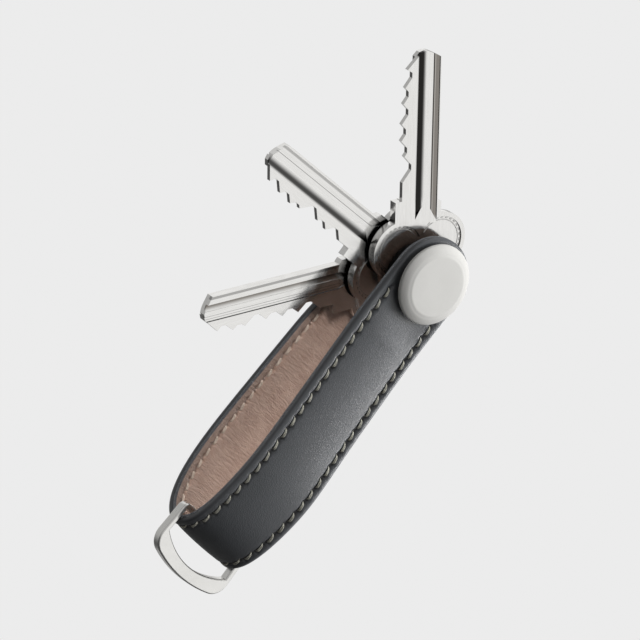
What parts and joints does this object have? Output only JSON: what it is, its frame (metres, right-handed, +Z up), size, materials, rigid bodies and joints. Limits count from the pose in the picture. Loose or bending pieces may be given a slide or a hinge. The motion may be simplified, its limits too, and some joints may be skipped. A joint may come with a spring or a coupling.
{
  "type": "key organiser",
  "caption": "Folded leather strap with a post through its ends that holds flat door keys, which turn out like blades, and a D-ring in the fold.",
  "frame": {"origin": "on the post's axis, midway between the strap's two outer faces at the post", "axes": "+Y along the post towards the rear cap, +Z up the strap away from the D-ring, +X across the strap"},
  "size_m": [0.062, 0.0199, 0.1196],
  "materials": {
    "leather": "fine pebbled, dark slate, edges painted",
    "lining": "creased rose-tan lining leather",
    "thread": "waxed olive-tan thread",
    "cap_metal": "matt light grey coating",
    "post_metal": "turned",
    "washer_nylon": "moulded",
    "lock_rubber": "moulded",
    "key_nickel": "nickel plated, polished",
    "ring_steel": "satin"
  },
  "bodies": {
    "strap": {"strap_leather": "leather", "strap_lining": "lining", "outer_thread_left": "thread", "outer_thread_right": "thread", "lining_thread_left": "thread", "lining_thread_right": "thread", "front_cap": "cap_metal", "post_barrel": "post_metal", "front_spacer_1": "washer_nylon", "front_spacer_2": "washer_nylon", "key_washer_1": "washer_nylon", "key_washer_2": "washer_nylon", "rear_washer": "washer_nylon"},
    "key_1": {"door_key_1": "key_nickel"},
    "key_2": {"door_key_2": "key_nickel"},
    "key_3": {"door_key_3": "key_nickel"},
    "ring": {"d_ring": "ring_steel"},
    "lock_ring": {"rear_lock_ring": "lock_rubber"},
    "coin_screw": {"rear_cap": "cap_metal", "rear_screw": "post_metal"}
  },
  "joints": [
    {"name": "key_1_turn", "type": "hinge", "parent": "strap", "child": "key_1", "pos_m": [0, 0, 0], "axis": [0, -1, 0], "continuous": true},
    {"name": "key_2_turn", "type": "hinge", "parent": "strap", "child": "key_2", "pos_m": [0, 0, 0], "axis": [0, -1, 0], "continuous": true},
    {"name": "key_3_turn", "type": "hinge", "parent": "strap", "child": "key_3", "pos_m": [0, 0, 0], "axis": [0, -1, 0], "continuous": true},
    {"name": "d_ring_swing", "type": "hinge", "parent": "strap", "child": "ring", "pos_m": [0, -0.0005, -0.06955], "axis": [1, 0, 0], "range_deg": [-104, 82]},
    {"name": "rear_cap_travel", "type": "slide", "parent": "strap", "child": "lock_ring", "axis": [0, 1, 0], "range_m": [0, 0.0028]},
    {"name": "rear_cap_turn", "type": "hinge", "parent": "lock_ring", "child": "coin_screw", "pos_m": [0, 0, 0], "axis": [0, 1, 0], "range_deg": [0, 1440.5]}
  ],
  "couplings": [
    {"joint": "rear_cap_turn", "follows": "rear_cap_travel", "rad_per_m": 8976}
  ]
}
